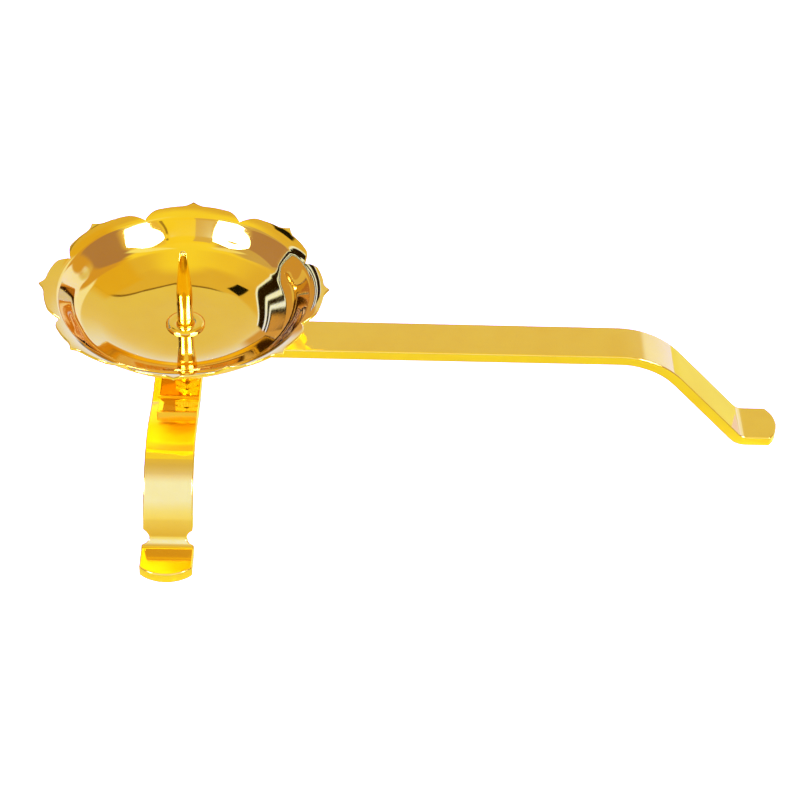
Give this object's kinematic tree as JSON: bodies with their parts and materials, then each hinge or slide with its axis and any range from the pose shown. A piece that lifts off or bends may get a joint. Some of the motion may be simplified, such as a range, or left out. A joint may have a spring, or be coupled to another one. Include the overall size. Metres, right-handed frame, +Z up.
{
  "type": "hand candlestick",
  "caption": "Hand candlestick: lotus-petal drip dish with a pricket, on a bent strap handle that doubles as a foot and a bridge of cat-foot legs.",
  "frame": {"origin": "on the ground, under the middle of the whole object's box", "axes": "+Z up, +X along the handle away from the dish, +Y along the legs"},
  "size_m": [0.3145, 0.2008, 0.09],
  "materials": {
    "polished_brass": "mirror polished, lacquered gold colour",
    "turned_brass": "lathe turned and polished",
    "hardware_brass": "plain machined"
  },
  "bodies": {
    "root": {"lotus_dish": "polished_brass", "pricket": "turned_brass", "candle_seat": "turned_brass", "dish_boss": "turned_brass", "handle_strap": "polished_brass", "handle_nut": "hardware_brass", "leg_sleeve": "turned_brass", "leg_band": "polished_brass", "washer": "hardware_brass", "fixing_nut": "hardware_brass"}
  },
  "joints": []
}
